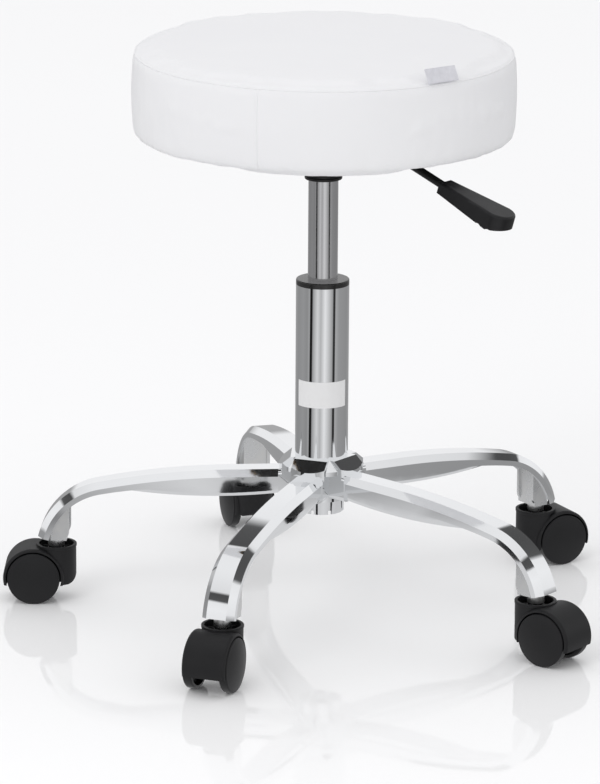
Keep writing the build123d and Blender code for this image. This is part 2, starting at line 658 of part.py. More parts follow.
def lever_paddle():
    """Moulded grip: wider and deeper towards its rounded tip, with finger grips underneath."""
    thin, thick = (width / 2 for width in PADDLE_WIDTHS)
    shallow, deep = PADDLE_DEPTHS
    long = PADDLE_LENGTH
    plan = make_face([
        Line((0, -thin), (0, thin)), Line((0, thin), (long - thick, thick)),
        ThreePointArc((long - thick, thick), (long, 0), (long - thick, -thick)),
        Line((long - thick, -thick), (0, -thin)),
    ])
    top = shallow / 2
    side = make_face(Polyline(
        (0, top), (long, top), (long, top - deep * PADDLE_NOSE), (long - deep, top - deep),
        (long * PADDLE_BELLY[0], top - deep * PADDLE_BELLY[1]), (0, top - shallow), close=True))
    grip = extrude(plan, long, both=True) & slab(side, long)
    grip_z = top - deep - GRIP_RADIUS + GRIP_DEPTH
    for place in GRIP_PLACES:
        grip -= cross_disc(GRIP_RADIUS, (long * place, grip_z), -long, long)
    grip = fillet(grip.edges().group_by(Axis.Z)[-1], PADDLE_EDGE)
    placed = Pos(PADDLE_START, 0, paddle_start_z()) * (Rot(0, PADDLE_DROP, 0) * grip)
    return to_lever(placed - rod_along(LEVER_RADIUS))


def plate_bolts():
    radius, height = BOLT_HEAD
    bolts = []
    for spot in plate_spots():
        head = extrude(Pos(0, 0, PLATE_UNDER - height) * RegularPolygon(radius, 6), height)
        shank = disc(BOLT_RADIUS, PLATE_UNDER, BOARD_TOP + BOLT_REACH)
        bolts.append(to_lever(spot * (head + shank)))
    return bolts


def tee_nuts():
    radius, height = NUT_FLANGE
    nuts = []
    for spot in plate_spots():
        nut = disc(NUT_BARREL_RADIUS, NUT_FOOT, BOARD_TOP)
        nut += disc(radius, BOARD_TOP, BOARD_TOP + height)
        nuts.append(to_lever(spot * (nut - disc(BOLT_RADIUS, BOARD_FOOT, 2 * BOARD_TOP))))
    return nuts


# ---------------------------------------------------------------- cushion
def seat_board():
    board = disc(SEAT_RADIUS - COVER, BOARD_FOOT, BOARD_TOP)
    for spot in plate_spots():
        board -= to_lever(spot * disc(BOLT_RADIUS + GAP, BOARD_FOOT - LAP, BOARD_TOP))
        board -= to_lever(spot * disc(NUT_BARREL_RADIUS, NUT_FOOT, BOARD_TOP + LAP))
    return board


def foam_pad():
    top = SEAT_TOP - COVER
    radius = SEAT_RADIUS - COVER
    pad = fillet(disc(radius, BOARD_TOP, top).edges().group_by(Axis.Z)[-1], SEAT_EDGE - COVER)
    flange, height = NUT_FLANGE
    for spot in plate_spots():
        pad -= to_lever(spot * disc(flange, BOARD_TOP - LAP, BOARD_TOP + height))
        pad -= to_lever(spot * disc(BOLT_RADIUS, BOARD_TOP - LAP, BOARD_TOP + BOLT_REACH))
    return pad


def seat_cover():
    """Sewn cover: flat top, straight side and the margin turned in under the board."""
    outside = disc(SEAT_RADIUS, SEAT_BOTTOM, SEAT_TOP)
    outside = fillet(outside.edges().group_by(Axis.Z)[-1], SEAT_EDGE)
    inside = disc(SEAT_RADIUS - COVER, BOARD_FOOT, SEAT_TOP - COVER)
    inside = fillet(inside.edges().group_by(Axis.Z)[-1], SEAT_EDGE - COVER)
    return outside - inside - disc(SEAT_RADIUS - COVER_TURN, SEAT_BOTTOM - LAP, BOARD_FOOT + LAP)


def dust_cloth():
    cloth = disc(SEAT_RADIUS - COVER_TURN - GAP, BOARD_FOOT - CLOTH, BOARD_FOOT)
    for spot in plate_spots():
        hole = disc(BOLT_RADIUS + GAP, BOARD_FOOT - CLOTH - LAP, BOARD_FOOT + LAP)
        cloth -= to_lever(spot * hole)
    return cloth


def seat_label_tab():
    """Blank woven tab sewn into the rim seam, standing up and leaning inwards."""
    width, height, thickness = TAB
    tab = Pos(0, 0, height / 2) * Box(thickness, width, height)
    spot = Pos(SEAT_RADIUS - TAB_SINK, 0, SEAT_TOP - TAB_SINK)
    leaning = Rot(0, 0, TAB_AZIMUTH) * (spot * (Rot(0, -TAB_LEAN, 0) * tab))
    return leaning - seat_cover() - foam_pad()


# ---------------------------------------------------------------- casters
def caster_stem():
    """Steel stem: pin in the housing, thrust flange, and a grooved shank in the leg's socket."""
    groove_top = STEM_TOP - GROOVE_DROP
    groove_foot = groove_top - GROOVE_HEIGHT
    inner = STEM_RADIUS - GROOVE_DEPTH
    foot = BOSS_TOP - PIN_LENGTH
    return turned([
        (0, foot), (PIN_RADIUS, foot), (PIN_RADIUS, FLANGE_FOOT), (FLANGE_RADIUS, FLANGE_FOOT),
        (FLANGE_RADIUS, SOCKET_FOOT), (STEM_RADIUS, SOCKET_FOOT), (STEM_RADIUS, groove_foot),
        (inner, groove_foot), (inner, groove_top), (STEM_RADIUS, groove_top),
        (STEM_RADIUS, STEM_TOP - LAP), (STEM_RADIUS - LAP, STEM_TOP), (0, STEM_TOP),
    ])


def grip_ring():
    """Split spring ring in the stem's groove, pressed against the socket's bore."""
    top = STEM_TOP - GROOVE_DROP
    hoop = ring(SOCKET_BORE, STEM_RADIUS - GROOVE_DEPTH, top - GROOVE_HEIGHT, top)
    return hoop - Pos(STEM_RADIUS, 0, top) * Box(STEM_RADIUS, LAP, 4 * GROOVE_HEIGHT)


def socket_sleeve():
    """Zinc sleeve for the caster's stem, open at both ends, held in the leg's tip by the bracket."""
    sleeve = ring(SLEEVE_RADIUS, SOCKET_BORE, SOCKET_FOOT, SOCKET_FOOT + SOCKET_HEIGHT)
    return Pos(CASTER_CIRCLE, 0, 0) * sleeve


def socket_bracket():
    """Pressed bracket round the sleeve: two rounded cheeks and a back web, under the leg's roof."""
    half = LEG_INSIDE
    back = CASTER_CIRCLE - CHEEK_BACK
    front = CASTER_CIRCLE + CHEEK_FRONT
    outline = Pos((back + front) / 2, (CHEEK_FOOT + LEG_TOP) / 2) * Rectangle(
        front - back, LEG_TOP - CHEEK_FOOT)
    corner = outline.vertices().sort_by(Axis.Y)[:2].sort_by(Axis.X)[0]
    outline = fillet(corner, CHEEK_ROUND)
    cheeks = slab(outline, half) - slab(outline, half - CHEEK)
    web_x = CASTER_CIRCLE - SLEEVE_RADIUS - CHEEK / 2
    web = Pos(web_x, 0, (CHEEK_FOOT + LEG_TOP) / 2) * Box(CHEEK, 2 * half, LEG_TOP - CHEEK_FOOT)
    return (cheeks + web) & channel_room()


def caster_housing():
    """Moulded body: a hood over both wheels, a middle web, and an open cup round the stem."""
    axle = (TRAIL, AXLE_Z)
    hood = cross_disc(HOOD_OUTER, axle, -HOOD_HALF, HOOD_HALF)
    hood = fillet(hood.edges().filter_by(GeomType.CIRCLE), HOOD_EDGE)
    cup = disc(CUP_RADIUS, HOOD_BOTTOM, CUP_TOP)
    reach = TRAIL + 2 * HOOD_OUTER
    outline = Pos((reach - CUP_RADIUS) / 2, (HOOD_BOTTOM + CUP_TOP) / 2) * Rectangle(
        reach + CUP_RADIUS, CUP_TOP - HOOD_BOTTOM)
    corner = outline.vertices().sort_by(Axis.Y)[:2].sort_by(Axis.X)[0]
    outline = fillet(corner, CUP_CORNER)
    body = (hood + cup) & slab(outline, 2 * CUP_RADIUS)
    bead = disc(CUP_RADIUS + BEAD, CUP_TOP - BEAD_HEIGHT, CUP_TOP)
    body += fillet(bead.edges(), BEAD_EDGE)
    for low, high in ((-2 * HOOD_HALF, -WEB_HALF), (WEB_HALF, 2 * HOOD_HALF)):
        body -= cross_disc(HOOD_INNER, axle, low, high)
    hollow = ring(CUP_RADIUS - CUP_WALL, BOSS_RADIUS, CUP_TOP - CUP_DEPTH, CUP_TOP + LAP)
    hollow += disc(BOSS_RADIUS, BOSS_TOP, CUP_TOP + LAP)
    for index in range(RIB_COUNT):
        rib = Pos(CUP_RADIUS / 2 + BOSS_RADIUS / 2, 0, BOSS_TOP - CUP_DEPTH / 2) * Box(
            CUP_RADIUS, RIB, CUP_DEPTH)
        hollow -= Rot(0, 0, (index + 0.5) * 360.0 / RIB_COUNT) * rib
    body -= hollow
    body -= disc(PIN_RADIUS + RUN, BOSS_TOP - PIN_LENGTH - GAP, CUP_TOP)
    return body - cross_disc(AXLE_RADIUS, axle, -2 * WEB_HALF, 2 * WEB_HALF)


def caster_axle():
    half = WHEEL_INNER + WHEEL_SHOULDER - GAP
    return cross_disc(AXLE_RADIUS, (TRAIL, AXLE_Z), -half, half)


def caster_wheel(side):
    """Nylon wheel: domed outer face, and a hollow inner side round its hub."""
    shoulder = WHEEL_INNER + WHEEL_SHOULDER
    wheel = disc(WHEEL_RADIUS, shoulder - TREAD, shoulder)
    wheel = fillet(wheel.edges().filter_by(GeomType.CIRCLE), TREAD_EDGE)
    flat = WHEEL_RADIUS - TREAD_EDGE
    ball = (flat ** 2 + WHEEL_DOME ** 2) / (2 * WHEEL_DOME)
    dome = Pos(0, 0, shoulder + WHEEL_DOME - ball) * Sphere(ball)
    wheel += dome & disc(flat, shoulder, shoulder + 2 * WHEEL_DOME)
    wheel -= ring(WHEEL_RADIUS - WHEEL_WALL, WHEEL_HUB_RADIUS, 0, shoulder - WHEEL_WALL)
    wheel += disc(WHEEL_HUB_RADIUS, WHEEL_INNER, shoulder)
    wheel -= disc(AXLE_RADIUS + RUN, 0, shoulder)
    return Pos(TRAIL, 0, AXLE_Z) * (Rot(-90 * side, 0, 0) * wheel)


# ---------------------------------------------------------------- write every node
def main():
    os.makedirs("parts", exist_ok=True)
    save(hub(), "base_hub")
    one_leg = leg()
    for index in range(LEG_COUNT):
        save(at_leg(one_leg, index), f"leg_{index + 1}")
    legs = range(LEG_COUNT)
    sleeve = socket_sleeve()
    save([at_leg(sleeve, index) for index in legs], "caster_sockets")
    bracket = socket_bracket()
    save([at_leg(bracket, index) for index in legs], "socket_brackets")
    stem = Pos(CASTER_CIRCLE, 0, 0) * caster_stem()
    save([at_leg(stem, index) for index in legs], "caster_stems")
    hoop = Pos(CASTER_CIRCLE, 0, 0) * grip_ring()
    save([at_leg(hoop, index) for index in legs], "stem_grip_rings")
    housing = caster_housing()
    axle = caster_axle()
    wheels = {"a": caster_wheel(1), "b": caster_wheel(-1)}
    for index in legs:
        save(at_caster(housing, index), f"caster_housing_{index + 1}")
        save(at_caster(axle, index), f"caster_axle_{index + 1}")
        for side, wheel in wheels.items():
            save(at_caster(wheel, index), f"caster_wheel_{index + 1}{side}")

    save(column_tube(), "column_tube")
    save(tube_label(), "tube_label")
    save(guide_bush(), "guide_bush")
    save(tube_base_plate(), "tube_base_plate")
    save(ring(RACE_RADIUS, ROD_RADIUS, RACE_FOOT, BALL_FOOT), "bearing_bottom_race")
    save(bearing_balls(), "bearing_balls")
    save(ball_cage(), "ball_cage")
    save(ring(RACE_RADIUS, ROD_FOOT_RADIUS, TOP_RACE_FOOT, ROD_SHOULDER), "bearing_top_race")
    save(piston_rod(), "piston_rod")
    save(rod_clip(), "rod_clip")
    save(ring(BUMPER_RADIUS, ROD_RADIUS, ROD_SHOULDER, BUMPER_TOP), "bump_stop")
    save(piston(), "piston")
    save(piston_seal(), "piston_seal")

    save(gas_cylinder(), "gas_cylinder")
    save(ring(CYLINDER_BORE, ROD_RADIUS + RUN, CYLINDER_BOTTOM, CYLINDER_BOTTOM + SEAL_HEIGHT),
         "rod_seal")
    guide_foot = CYLINDER_BOTTOM + SEAL_HEIGHT
    save(ring(CYLINDER_BORE, ROD_RADIUS + RUN, guide_foot, guide_foot + GUIDE_HEIGHT), "rod_guide")
    save(valve_body(), "valve_body")
    save(release_pin(), "release_pin")
    save(taper_socket(), "taper_socket")
    save(seat_plate(), "seat_plate")
    save(lever_pin(), "lever_pin")
    save(lever_rod(), "lever_rod")
    save(lever_paddle(), "lever_paddle")
    save(plate_bolts(), "plate_bolts")
    save(tee_nuts(), "tee_nuts")
    save(seat_board(), "seat_board")
    save(foam_pad(), "foam_pad")
    save(seat_cover(), "seat_cover")
    save(dust_cloth(), "dust_cloth")
    save(seat_label_tab(), "seat_label_tab")


main()
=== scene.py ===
"""Looks of the pedicure stool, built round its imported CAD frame. Metres, +Z up."""
import json
from math import atan2, cos, hypot, pi, radians, sin

import bpy
from mathutils import Matrix, Vector, noise


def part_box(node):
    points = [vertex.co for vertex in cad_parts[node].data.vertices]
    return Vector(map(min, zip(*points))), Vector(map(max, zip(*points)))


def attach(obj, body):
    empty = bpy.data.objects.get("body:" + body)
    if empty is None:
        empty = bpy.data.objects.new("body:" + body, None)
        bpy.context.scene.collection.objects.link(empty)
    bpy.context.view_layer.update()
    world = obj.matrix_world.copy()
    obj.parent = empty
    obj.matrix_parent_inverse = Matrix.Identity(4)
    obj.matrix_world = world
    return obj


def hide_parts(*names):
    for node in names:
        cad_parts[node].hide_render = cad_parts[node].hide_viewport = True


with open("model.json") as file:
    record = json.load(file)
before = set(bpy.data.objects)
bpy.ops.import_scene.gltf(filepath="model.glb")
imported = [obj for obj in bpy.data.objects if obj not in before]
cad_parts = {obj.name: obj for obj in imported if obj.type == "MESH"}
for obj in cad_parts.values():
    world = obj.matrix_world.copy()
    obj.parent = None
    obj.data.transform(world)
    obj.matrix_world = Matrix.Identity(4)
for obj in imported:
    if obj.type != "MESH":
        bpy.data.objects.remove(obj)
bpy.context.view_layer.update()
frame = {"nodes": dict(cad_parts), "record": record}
MM = 0.001
MERGE = 0.002 * MM              # points this close are one point
BODY_OF = {node: body for body, nodes in frame["record"]["behaviour"]["bodies"].items()
           for node in nodes}
SLOT_OF = {row["node"]: row["material_slot"] for row in frame["record"]["subparts"]}
LEGS = range(1, 6)


# ------------------------------------------------------------------ small helpers
def deselect():
    bpy.ops.object.select_all(action="DESELECT")


def activate(piece):
    """Make this the one selected and active object."""
    deselect()
    piece.select_set(True)
    bpy.context.view_layer.objects.active = piece


def apply_modifiers(piece):
    activate(piece)
    for modifier in list(piece.modifiers):
        bpy.ops.object.modifier_apply(modifier=modifier.name)


def smooth(piece, angle=32.0):
    activate(piece)
    bpy.ops.object.shade_smooth_by_angle(angle=radians(angle))


def weighted(piece):
    """Let the large faces set the shading normals, so that flats stay flat beside roundings."""
    modifier = piece.modifiers.new("weighted", "WEIGHTED_NORMAL")
    modifier.keep_sharp = True
    modifier.weight = 100
    apply_modifiers(piece)


def paint(piece, material):
    piece.data.materials.clear()
    piece.data.materials.append(material)


def settle(piece, nodes, material, body=None):
    """Give a finished piece its finish, its body and the CAD nodes it stands for."""
    paint(piece, material)
    nodes = [nodes] if isinstance(nodes, str) else list(nodes)
    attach(piece, body or BODY_OF[nodes[0]])
    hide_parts(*nodes)
    return piece


def fine_copy(node, name, angle=32.0):
    """Merged copy of a CAD node, with smooth shading where its surface is round."""
    piece = bpy.data.objects.new(name, frame["nodes"][node].data.copy())
    bpy.context.scene.collection.objects.link(piece)
    activate(piece)
    bpy.ops.object.mode_set(mode="EDIT")
    bpy.ops.mesh.select_all(action="SELECT")
    bpy.ops.mesh.remove_doubles(threshold=MERGE)
    bpy.ops.object.mode_set(mode="OBJECT")
    bpy.ops.mesh.customdata_custom_splitnormals_clear()
    smooth(piece, angle)
    weighted(piece)
    return piece


# ------------------------------------------------------------------ shared effects
def group(name, inputs, outputs):
    """Empty shader node group with float inputs and the outputs named."""
    tree = bpy.data.node_groups.new(name, "ShaderNodeTree")
    for label, value in inputs.items():
        socket = tree.interface.new_socket(label, in_out="INPUT", socket_type="NodeSocketFloat")
        socket.default_value = value
    for label, kind in outputs.items():
        tree.interface.new_socket(label, in_out="OUTPUT", socket_type=kind)
    return tree, tree.nodes.new("NodeGroupInput"), tree.nodes.new("NodeGroupOutput")


def add(tree, kind, **settings):
    node = tree.nodes.new(kind)
    for key, value in settings.items():
        setattr(node, key, value)
    return node


def surface_noise_group():
    """Mottle, for colour and roughness, and a grain height, both on object coordinates."""
    tree, source, out = group(
        "surface_noise",
        {"Grain scale": 400.0, "Mottle scale": 12.0, "Low": 0.3, "High": 0.4},
        {"Roughness": "NodeSocketFloat", "Mottle": "NodeSocketFloat", "Grain": "NodeSocketFloat"})
    place = add(tree, "ShaderNodeTexCoord")
    grain = add(tree, "ShaderNodeTexNoise", noise_dimensions="3D")
    grain.inputs["Detail"].default_value = 3.0
    mottle = add(tree, "ShaderNodeTexNoise", noise_dimensions="3D")
    mottle.inputs["Detail"].default_value = 4.0
    spread = add(tree, "ShaderNodeMapRange")
    spread.inputs["From Min"].default_value = 0.3
    spread.inputs["From Max"].default_value = 0.7
    links = tree.links
    links.new(place.outputs["Object"], grain.inputs["Vector"])
    links.new(place.outputs["Object"], mottle.inputs["Vector"])
    links.new(source.outputs["Grain scale"], grain.inputs["Scale"])
    links.new(source.outputs["Mottle scale"], mottle.inputs["Scale"])
    links.new(mottle.outputs["Fac"], spread.inputs["Value"])
    links.new(source.outputs["Low"], spread.inputs["To Min"])
    links.new(source.outputs["High"], spread.inputs["To Max"])
    links.new(spread.outputs["Result"], out.inputs["Roughness"])
    links.new(mottle.outputs["Fac"], out.inputs["Mottle"])
    links.new(grain.outputs["Fac"], out.inputs["Grain"])
    return tree


NOISE = surface_noise_group()


def finish_material(name, colour, tone=None, metallic=0.0, rough=(0.3, 0.4), grain=400.0,
                    mottle=12.0, bump=0.02, depth=0.05, **sockets):
    """Material with mottled colour and roughness and a fine grain in its bump."""
    material = bpy.data.materials.new(name)
    material.use_nodes = True
    tree = material.node_tree
    shader = tree.nodes["Principled BSDF"]
    effect = add(tree, "ShaderNodeGroup", node_tree=NOISE)
    effect.inputs["Grain scale"].default_value = grain
    effect.inputs["Mottle scale"].default_value = mottle
    effect.inputs["Low"].default_value = rough[0]
    effect.inputs["High"].default_value = rough[1]
    ramp = add(tree, "ShaderNodeValToRGB")
    ramp.color_ramp.elements[0].position = 0.3
    ramp.color_ramp.elements[1].position = 0.7
    ramp.color_ramp.elements[0].color = (*colour, 1.0)
    ramp.color_ramp.elements[1].color = (*(tone or colour), 1.0)
    relief = add(tree, "ShaderNodeBump")
    relief.inputs["Strength"].default_value = bump
    relief.inputs["Distance"].default_value = depth * MM
    links = tree.links
    links.new(effect.outputs["Mottle"], ramp.inputs["Fac"])
    links.new(ramp.outputs["Color"], shader.inputs["Base Color"])
    links.new(effect.outputs["Roughness"], shader.inputs["Roughness"])
    links.new(effect.outputs["Grain"], relief.inputs["Height"])
    links.new(relief.outputs["Normal"], shader.inputs["Normal"])
    shader.inputs["Metallic"].default_value = metallic
    for label, value in sockets.items():
        shader.inputs[label.replace("_", " ")].default_value = value
    return material


FINISH = {
    "chrome": finish_material("polished_chrome", (0.80, 0.81, 0.82), (0.84, 0.85, 0.86), 1.0,
                              (0.035, 0.06), 900.0, 9.0, 0.01, 0.01),
    "satin_chrome": finish_material("ground_steel", (0.60, 0.60, 0.61), (0.66, 0.66, 0.67), 1.0,
                                    (0.10, 0.15), 900.0, 14.0, 0.03, 0.01),
    "zinc": finish_material("zinc_plate", (0.66, 0.67, 0.68), (0.74, 0.74, 0.73), 1.0,
                            (0.22, 0.36), 700.0, 60.0, 0.08, 0.02),
    "bright_steel": finish_material("bright_steel", (0.6, 0.6, 0.61), (0.66, 0.66, 0.67), 1.0,
                                    (0.15, 0.25), 900.0, 40.0),
    "spring_steel": finish_material("spring_steel", (0.3, 0.3, 0.31), (0.36, 0.36, 0.38), 1.0,
                                    (0.3, 0.4), 900.0, 40.0),
    "white_nylon": finish_material("white_nylon", (0.8, 0.8, 0.77), (0.85, 0.85, 0.82)),
    "aluminium": finish_material("turned_aluminium", (0.7, 0.7, 0.71), None, 1.0, (0.25, 0.35)),
    "rubber": finish_material("black_rubber", (0.02, 0.02, 0.02), (0.028, 0.028, 0.028), 0.0,
                              (0.7, 0.85)),
    "brass": finish_material("turned_brass", (0.75, 0.55, 0.25), None, 1.0, (0.2, 0.3)),
    "black_plastic": finish_material("smooth_black_plastic", (0.012, 0.012, 0.012),
                                     (0.016, 0.016, 0.016), 0.0, (0.18, 0.26)),
    "label_film": finish_material("label_film", (0.82, 0.82, 0.82), (0.85, 0.85, 0.85), 0.0,
                                  (0.3, 0.38)),
    "black_paint": finish_material("black_powder_coat", (0.009, 0.009, 0.009),
                                   (0.013, 0.013, 0.013), 0.0, (0.34, 0.44), 700.0, 30.0, 0.3,
                                   0.05, Specular_IOR_Level=0.35),
    "grip_plastic": finish_material("grip_plastic", (0.008, 0.008, 0.009), (0.012, 0.012, 0.013),
                                    0.0, (0.36, 0.46), 1400.0, 25.0, 0.5, 0.04,
                                    Specular_IOR_Level=0.35),
    "plywood": finish_material("birch_plywood", (0.55, 0.38, 0.2), (0.62, 0.45, 0.26), 0.0,
                               (0.6, 0.75), 300.0, 30.0, 0.2, 0.1),
    "foam": finish_material("cut_foam", (0.85, 0.8, 0.6), None, 0.0, (0.85, 0.95)),
    "faux_leather": finish_material("white_faux_leather", (0.83, 0.83, 0.845),
                                    (0.86, 0.86, 0.87), 0.0, (0.42, 0.52), 900.0, 7.0, 0.16, 0.08),
    "dust_cloth": finish_material("black_dust_cloth", (0.02, 0.02, 0.02), (0.035, 0.035, 0.035),
                                  0.0, (0.85, 0.95), 1500.0, 60.0, 0.6, 0.1),
    "woven_tab": finish_material("woven_tab", (0.62, 0.62, 0.66), (0.70, 0.70, 0.74), 0.0,
                                 (0.7, 0.8), 1800.0, 200.0, 0.5, 0.05),
    "black_nylon": finish_material("moulded_nylon", (0.008, 0.008, 0.009), (0.012, 0.012, 0.013),
                                   0.0, (0.46, 0.56), 1300.0, 25.0, 0.5, 0.05,
                                   Specular_IOR_Level=0.28),
    "black_nylon_wheel": finish_material("wheel_nylon", (0.008, 0.008, 0.009),
                                         (0.011, 0.011, 0.012), 0.0, (0.4, 0.5), 1300.0, 25.0,
                                         0.4, 0.05, Specular_IOR_Level=0.28),
}


# ------------------------------------------------------------------ carried-over pieces
def dress_cad_nodes():
    for node, piece in frame["nodes"].items():
        paint(piece, FINISH[SLOT_OF[node]])


SHOWN_AS_MADE = [
    "base_hub", "caster_sockets", "socket_brackets", "caster_stems", "column_tube", "tube_label",
    "guide_bush", "gas_cylinder", "taper_socket", "seat_plate", "lever_rod", "lever_paddle",
    "lever_pin", "plate_bolts", "tube_base_plate", "dust_cloth", "seat_label_tab"]
SHOWN_AS_MADE += [f"leg_{n}" for n in LEGS]
SHOWN_AS_MADE += [f"caster_housing_{n}" for n in LEGS]
SHOWN_AS_MADE += [f"caster_wheel_{n}{side}" for n in LEGS for side in "ab"]


def refine_cad_nodes():
    for node in SHOWN_AS_MADE:
        settle(fine_copy(node, node + "_skin"), node, FINISH[SLOT_OF[node]])


# ------------------------------------------------------------------ cushion
STEPS_ROUND = 128               # steps of the cushion's outline round the column
PROFILE_MERGE = 0.01 * MM
VOXEL = 5.0 * MM
PRESSURE = 4.0
SETTLE_FRAMES = 20
SWELL = 3.0 * MM                # furthest that a point of the cushion may move outwards
PULL = 1.5 * MM                 # and inwards
SIDEWAYS = 1.5 * MM             # and along the surface
RIM_SEAM_DROP = 4.5 * MM        # seam of the top panel, under the rim's top
SIDE_SEAM_AZIMUTH = -109.7      # where the side panel's ends are sewn together
SEAM_CORD = 0.95 * MM           # radius of the sewn ridge
RIM_SINK = 0.35                 # share of that radius sunk into the cover
SIDE_SINK = 0.4
RIM_POINTS = 240
SIDE_POINTS = 40
SIDE_FOOT = 4.0 * MM            # the upright seam starts this far above the lower edge
GATHER_DEPTH = 0.5 * MM
HANG_DEPTH = 2.4 * MM           # most that the lower edge sags
HEM = 35.5 * MM                 # width of the turned-in cover underneath
FULL_BACK = 2.0 * MM            # the far half of the cushion is stuffed a little fuller


def spun(name, profile, steps):
    """Closed round piece from the (radius, height) points of its side."""
    mesh = bpy.data.meshes.new(name)
    mesh.from_pydata([(x, 0.0, z) for x, z in profile],
                     [(i, i + 1) for i in range(len(profile) - 1)], [])
    piece = bpy.data.objects.new(name, mesh)
    bpy.context.scene.collection.objects.link(piece)
    activate(piece)
    bpy.ops.object.mode_set(mode="EDIT")
    bpy.ops.mesh.select_all(action="SELECT")
    bpy.ops.mesh.spin(steps=steps, angle=2 * pi, center=(0, 0, 0), axis=(0, 0, 1))
    bpy.ops.mesh.select_all(action="SELECT")
    bpy.ops.mesh.remove_doubles(threshold=PROFILE_MERGE)
    bpy.ops.mesh.normals_make_consistent(inside=False)
    bpy.ops.object.mode_set(mode="OBJECT")
    return piece


def stuff(piece):
    """Swell the cushion from inside, and hold every point near its place."""
    remesh = piece.modifiers.new("even", "REMESH")
    remesh.mode = "VOXEL"
    remesh.voxel_size = VOXEL
    apply_modifiers(piece)
    starts = [Vector(point.co) for point in piece.data.vertices]
    normals = [Vector(point.normal) for point in piece.data.vertices]
    cloth = piece.modifiers.new("cloth", "CLOTH")
    cloth.settings.use_pressure = True
    cloth.settings.uniform_pressure_force = PRESSURE
    cloth.settings.effector_weights.gravity = 0.0
    scene = bpy.context.scene
    for step in range(1, SETTLE_FRAMES + 1):
        scene.frame_set(step)
    apply_modifiers(piece)
    scene.frame_set(1)
    for point, start, normal in zip(piece.data.vertices, starts, normals):
        move = point.co - start
        out = move.dot(normal)
        aside = move - normal * out
        out = max(-PULL, min(SWELL, out))
        if aside.length > SIDEWAYS:
            aside = aside.normalized() * SIDEWAYS
        point.co = start + normal * out + aside


def crease(piece, low, high, radius):
    """Faint upright gathers on the side, and a slightly uneven lower edge."""
    for point in piece.data.vertices:
        x, y, z = point.co
        reach = hypot(x, y)
        if reach < radius * 0.6:
            continue
        turn = atan2(y, x)
        up = (z - low) / (high - low)
        on_side = max(0.0, min(1.0, (reach - radius * 0.93) / (radius * 0.05)))
        gather = noise.noise((26 * cos(turn), 26 * sin(turn), 3.0 * up))
        gather += 0.5 * noise.noise((60 * cos(turn), 60 * sin(turn), 5.0 + 4.0 * up))
        push = on_side * gather * GATHER_DEPTH * (1.0 - 0.5 * up)
        edge = max(0.0, 1.0 - up / 0.22)
        hang = -abs(noise.noise((7 * cos(turn), 7 * sin(turn), 9.0))) * HANG_DEPTH * edge
        point.co.x += push * cos(turn)
        point.co.y += push * sin(turn)
        point.co.z += hang * max(0.0, (reach - radius * 0.8) / (radius * 0.2))
    for point in piece.data.vertices:
        up = max(0.0, (point.co.z - low) / (high - low))
        point.co.z += FULL_BACK * up * (1.0 + point.co.y / radius)


def on_surface(piece, start, towards):
    """Point of the piece's surface met from start, or None."""
    hit, place, _, _ = piece.ray_cast(start, (Vector(towards) - Vector(start)).normalized())
    return place if hit else None


def cord_along(name, path, thickness, closed):
    """Round cord through the points of a path, as a mesh."""
    curve = bpy.data.curves.new(name, "CURVE")
    curve.dimensions = "3D"
    curve.bevel_depth = thickness
    curve.bevel_resolution = 2
    line = curve.splines.new("POLY")
    line.points.add(len(path) - 1)
    for spot, place in zip(line.points, path):
        spot.co = (*place, 1.0)
    line.use_cyclic_u = closed
    piece = bpy.data.objects.new(name, curve)
    bpy.context.scene.collection.objects.link(piece)
    activate(piece)
    bpy.ops.object.convert(target="MESH")
    smooth(piece, 60)
    return piece


def seam_point(piece, turn, height, radius, sink):
    """Middle of the sewn ridge at one place on the cushion's side, or None."""
    outwards = Vector((cos(turn), sin(turn), 0.0))
    start = outwards * radius * 1.5 + Vector((0, 0, height))
    place = on_surface(piece, start, (0, 0, height))
    return None if place is None else place - outwards * SEAM_CORD * sink


def seams(piece, low, high, radius):
    """The sewn line under the rim and the upright one in the side panel."""
    ring = []
    for step in range(RIM_POINTS):
        turn = 2 * pi * step / RIM_POINTS
        height = high - RIM_SEAM_DROP + FULL_BACK * (1.0 + sin(turn))
        ring.append(seam_point(piece, turn, height, radius, RIM_SINK))
    foot = low + SIDE_FOOT
    rise = high - RIM_SEAM_DROP - foot
    turn = radians(SIDE_SEAM_AZIMUTH)
    upright = [seam_point(piece, turn, foot + rise * step / (SIDE_POINTS - 1), radius, SIDE_SINK)
               for step in range(SIDE_POINTS)]
    for name, path, closed in (("rim_seam", ring, True), ("side_seam", upright, False)):
        path = [place for place in path if place is not None]
        settle(cord_along(name, path, SEAM_CORD, closed), "seat_cover", FINISH["faux_leather"])


def cushion():
    low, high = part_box("seat_cover")
    radius = (high.x - low.x) / 2
    low, high = low.z, high.z
    mid = (low + high) / 2
    profile = [
        (0.0, high + 1.6 * MM), (radius * 0.3, high + 1.4 * MM), (radius * 0.6, high + 0.9 * MM),
        (radius - 12 * MM, high + 0.2 * MM), (radius - 5 * MM, high - 0.6 * MM),
        (radius - 1.8 * MM, high - 2.4 * MM), (radius - 0.6 * MM, high - 5.5 * MM),
        (radius + 0.6 * MM, mid + 14 * MM), (radius + 1.0 * MM, mid),
        (radius + 0.6 * MM, mid - 14 * MM), (radius - 0.4 * MM, low + 8 * MM),
        (radius - 2.5 * MM, low + 2.4 * MM), (radius - 7 * MM, low), (radius - 36 * MM, low),
        (0.0, low)]
    piece = spun("cushion_cover", profile, STEPS_ROUND)
    stuff(piece)
    crease(piece, low, high, radius)
    rounder = piece.modifiers.new("rounder", "SUBSURF")
    rounder.levels = rounder.render_levels = 1
    apply_modifiers(piece)
    smooth(piece, 60)
    open_underneath(piece, low, radius)
    settle(piece, "seat_cover", FINISH["faux_leather"])
    seams(piece, low, high, radius)


